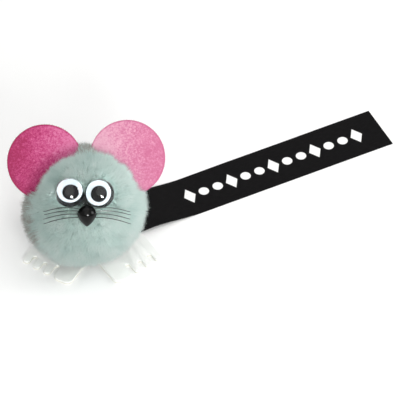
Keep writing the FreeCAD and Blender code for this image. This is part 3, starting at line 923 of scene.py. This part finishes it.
def drop_profile(points=14):
    """Half outline of the teardrop, from its tip to its top: two superellipse quarters."""
    profile = []
    for reach, power, sign in ((NOSE_TIP, 1.357, -1), (NOSE_TOP, 1.868, 1)):
        quarter = []
        for i in range(points + 1):
            along = math.sin(math.pi / 2 * i / points)
            quarter.append((NOSE_RADIUS * (1 - along ** power) ** (1 / power), sign * reach * along))
        profile += quarter[::-1] if sign < 0 else quarter[1:]
    return [(max(r, 0.0), z) for r, z in profile]


def make_nose():
    """A polished teardrop bead, flat at the back."""
    bm = lathe(drop_profile(), steps=80, closed=False)
    bmesh.ops.rotate(bm, verts=bm.verts, cent=(0, 0, 0), matrix=Matrix.Rotation(-math.pi / 2, 3, "X"))
    cut = bmesh.ops.bisect_plane(
        bm, geom=bm.verts[:] + bm.edges[:] + bm.faces[:], dist=0.001 * MM,
        plane_co=(0, 0, 0), plane_no=(0, 0, -1), clear_outer=True,
    )
    edges = [item for item in cut["geom_cut"] if isinstance(item, bmesh.types.BMEdge)]
    bmesh.ops.edgenet_fill(bm, edges=edges)
    bmesh.ops.recalc_face_normals(bm, faces=bm.faces)
    soften(bm, 0.15 * MM, 3, angle=60)
    axis = FACE_OUT - FACE_UP * math.tan(math.radians(NOSE_LEAN))
    place = local_frame(on_face(*NOSE_PLACE), axis, FACE_UP)
    mat = moulded_gloss("black_bead", "020202", "040303", 0.08, gloss=0.16)
    return finished("nose_bead", bm, mat, place, smooth_angle=50)


nose = make_nose()
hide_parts("nose")
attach(nose, "root")

WHISKER_RADIUS = 0.14
WHISKER_DEPTH = 0.25
WHISKER_SWEEP = 2.4
WHISKER_REACH = 13.3
WHISKER_STEPS = 60
WHISKER_TAPER = 0.45
WHISKER_LIFT = 0.45            # how far each half arches off the face
WHISKERS = ((-1.85, -2.15), (-2.35, -3.1), (-3.1, -4.45), (-3.95, -5.9))   # height at nose, at tips
WHISKER_TIP_UNEVEN = ((0.0, 0.25), (0.35, -0.2), (-0.1, 0.3), (0.2, -0.15))
WHISKER_BOW = (1.0, 0.6, 0.45, 0.25)          # how far each half arches up between nose and tip


def circle_through(a, b, c):
    """Centre and unit axis of the circle through three points."""
    ab, ac = b - a, c - a
    axis = ab.cross(ac)
    off = axis.cross(ab) * ac.length_squared + ac.cross(axis) * ab.length_squared
    return a + off / (2 * axis.length_squared), axis.normalized()


def make_whisker(number, mat):
    """One nylon strand from cheek to cheek, bent in an even arc, thinner towards its ends."""
    at_nose, at_tips = WHISKERS[number]
    short_left, short_right = WHISKER_TIP_UNEVEN[number]
    across, nose_height, nose_rise = NOSE_PLACE
    rise = nose_rise - WHISKER_DEPTH + (at_nose - nose_height) * math.tan(math.radians(NOSE_LEAN))
    left = on_face(across - WHISKER_REACH, at_tips, rise - WHISKER_SWEEP)
    right = on_face(across + WHISKER_REACH, at_tips, rise - WHISKER_SWEEP)
    top = on_face(across, at_nose, rise)
    centre, axis = circle_through(left, top, right)
    start, end = left - centre, right - centre
    angle = start.angle(end)
    trim = angle / (2 * WHISKER_REACH)
    start = Matrix.Rotation(trim * max(0, short_left), 3, axis) @ start
    angle -= trim * (max(0, short_left) + max(0, short_right))
    bm = bmesh.new()
    ring = bmesh.ops.create_circle(bm, cap_ends=False, segments=8, radius=WHISKER_RADIUS * MM)["verts"]
    place = local_frame(centre + start, axis.cross(start), axis)
    bmesh.ops.transform(bm, matrix=place, verts=ring)
    bmesh.ops.spin(
        bm, geom=bm.verts[:] + bm.edges[:], cent=centre, axis=axis, angle=angle, steps=WHISKER_STEPS,
        use_merge=False, use_duplicate=False,
    )
    for vert in bm.verts:
        spoke = vert.co - centre
        share = start.angle(spoke - axis * spoke.dot(axis)) / angle
        line = centre + (Matrix.Rotation(angle * share, 3, axis) @ start)
        taper = 1 - WHISKER_TAPER * abs(2 * share - 1) ** 6
        vert.co = line + (vert.co - line) * taper
        vert.co += noise.noise_vector(line * per_mm(6) + Vector((number, 0, 0))) * 0.07 * MM
        arch = math.sin(math.pi * min(1.0, abs(2 * share - 1) * 1.05))
        vert.co += (FACE_UP * WHISKER_BOW[number] + FACE_OUT * WHISKER_LIFT) * arch * MM
    bmesh.ops.holes_fill(bm, edges=[edge for edge in bm.edges if edge.is_boundary], sides=8)
    bmesh.ops.recalc_face_normals(bm, faces=bm.faces)
    return finished(f"whisker_strand_{number + 1}", bm, mat)


nylon = drawn_nylon()
for number in range(len(WHISKERS)):
    strand = make_whisker(number, nylon)
    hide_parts(f"whisker_{number + 1}")
    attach(strand, "root")


# ---------------------------------------------------------------- feet

def make_feet():
    """The foam sheet with its die-cut edges rounded over."""
    bm = bmesh.new()
    bm.from_mesh(NODES["feet"].data)
    bmesh.ops.remove_doubles(bm, verts=bm.verts, dist=0.002 * MM)
    bmesh.ops.dissolve_limit(
        bm, angle_limit=math.radians(1), use_dissolve_boundaries=False, verts=bm.verts, edges=bm.edges
    )
    soften(bm, 0.12 * MM, 2, angle=60)
    return finished("feet_foam", bm, foam_sheet(), smooth_angle=35)


feet = make_feet()
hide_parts("feet")
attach(feet, "root")


# ---------------------------------------------------------------- ribbon

RIBBON_THICKNESS = 0.22
RIBBON_ROOT_LENGTH = 17.2
RIBBON_CREST = 7.8             # distances along the ribbon from its fold
RIBBON_CREST_RISE = 0.45
RIBBON_TOUCHDOWN = 24.8
RIBBON_TAIL_LENGTH = 90.3
RIBBON_RIPPLE = 0.12
RIBBON_COLUMNS = 16
RIBBON_ROWS = 240
RIBBON_LENGTH = RIBBON_ROOT_LENGTH + RIBBON_TAIL_LENGTH


def ribbon_height(along, feet_top):
    """Height of the ribbon's underside, in millimetres, at a distance from its fold."""
    crest = feet_top + RIBBON_CREST_RISE
    up = feet_top + RIBBON_CREST_RISE * smooth_step(along, 0, RIBBON_CREST)
    return up - crest * smooth_step(along, RIBBON_CREST, RIBBON_TOUCHDOWN)


def make_ribbon():
    fold, axis = joint_place("ribbon_lift")
    ahead = Vector((-axis.y, axis.x, 0))
    side = Vector((0, 0, 1)).cross(ahead)
    feet_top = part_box("feet")[1].z / MM
    bm = bmesh.new()
    bmesh.ops.create_grid(bm, x_segments=RIBBON_COLUMNS, y_segments=RIBBON_ROWS, size=0.5)
    uv = bm.loops.layers.uv.new("ribbon_mm")
    for face in bm.faces:
        for loop in face.loops:
            x, y = loop.vert.co.x + 0.5, loop.vert.co.y + 0.5
            loop[uv].uv = (x * RIBBON_WIDTH, y * RIBBON_LENGTH)
    for vert in bm.verts:
        across = vert.co.x * RIBBON_WIDTH
        along = (vert.co.y + 0.5) * RIBBON_LENGTH - RIBBON_ROOT_LENGTH
        lift = ribbon_height(along, feet_top)
        free = smooth_step(along, 18, 45)
        wave = noise.noise(Vector((along * 0.045, across * 0.04, 2.0))) + 0.6
        lift += RIBBON_RIPPLE * free * max(0.0, wave)
        flat = fold + ahead * along * MM + side * across * MM
        vert.co = Vector((flat.x, flat.y, lift * MM))
    bmesh.ops.recalc_face_normals(bm, faces=bm.faces)
    if bm.faces[0].normal.z < 0:
        bmesh.ops.reverse_faces(bm, faces=bm.faces)
    ribbon = finished("satin_ribbon", bm, woven_satin(), smooth_angle=180)
    thick = ribbon.modifiers.new("thickness", "SOLIDIFY")
    thick.thickness = RIBBON_THICKNESS * MM
    thick.offset = 1
    return ribbon, fold, ahead


ribbon, fold, ahead = make_ribbon()
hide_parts("ribbon_root", "ribbon_tail")
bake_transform(ribbon)


# ---------------------------------------------------------------- pieces kept from the CAD model

hot_melt = set_glue("hot_melt_glue", "D9D5C4", "E8E5D8", 0.3)
KEPT = {
    "foot_adhesive": set_glue("transfer_adhesive", "DDDCCB", "ECEBDD", 0.2),
    "release_liner": release_paper(),
    "pompom_tie": binding_thread(),
    "feet_glue": hot_melt,
    "nose_glue": hot_melt,
}
for side in SIDES:
    KEPT[f"ear_glue_{side}"] = hot_melt
    KEPT[f"eye_glue_{side}"] = hot_melt
for node, mat in KEPT.items():
    for slot in NODES[node].material_slots:
        slot.material = mat


# ---------------------------------------------------------------- studio

FLOOR_REACH = 12.0


def make_studio():
    mat, tree, shader = surface("studio_floor", Roughness=0.9)
    spot = add(tree, "ShaderNodeTexCoord").outputs["Object"]
    tone = add(tree, "ShaderNodeTexNoise", {}, {"Vector": spot, "Scale": 3.0})
    colour = add(tree, "ShaderNodeValToRGB", {}, {"Fac": tone.outputs["Fac"]}, [
        (0.3, "F6F6F5"), (0.7, "FAFAF9"),
    ])
    tree.links.new(colour.outputs["Color"], shader.inputs["Base Color"])
    bm = bmesh.new()
    bmesh.ops.create_grid(bm, x_segments=8, y_segments=8, size=FLOOR_REACH)
    floor = finished("floor", bm, mat, Matrix.Translation((0, 0, -0.02 * MM)))
    world = bpy.data.worlds.new("studio")
    world.use_nodes = True
    back = world.node_tree.nodes["Background"]
    back.inputs["Color"].default_value = srgb("FFFFFF")
    back.inputs["Strength"].default_value = 0.58
    bpy.context.scene.world = world
    bpy.context.scene.view_settings.view_transform = "Standard"


LAMPS = (   # name, direction from the pompom, distance, diameter, watts
    ("front", (0.22, -0.85, 0.48), 0.5, 0.16, 0.9),
    ("overhead", (0.0, -0.42, 0.9), 0.65, 0.8, 1.3),
    ("key", (0.87, 0.1, 0.48), 0.5, 0.28, 0.95),
    ("back", (-0.1, 0.45, 0.9), 0.7, 0.7, 0.7),
    ("catchlight", (0.16, -0.83, 0.55), 0.5, 0.17, 4.0),
)


def make_lamps():
    for name, way, distance, size, watts in LAMPS:
        data = bpy.data.lights.new(name, "AREA")
        data.shape = "DISK"
        data.size = size
        data.energy = watts
        lamp = bpy.data.objects.new(name, data)
        way = Vector(way).normalized()
        lamp.location = BALL_CENTRE + way * distance
        lamp.rotation_euler = way.to_track_quat("Z", "Y").to_euler()
        if name == "catchlight":       # it only gives the eyes and nose their glint
            lamp.visible_diffuse = False
            lamp.visible_transmission = False
        bpy.context.scene.collection.objects.link(lamp)


make_studio()
make_lamps()
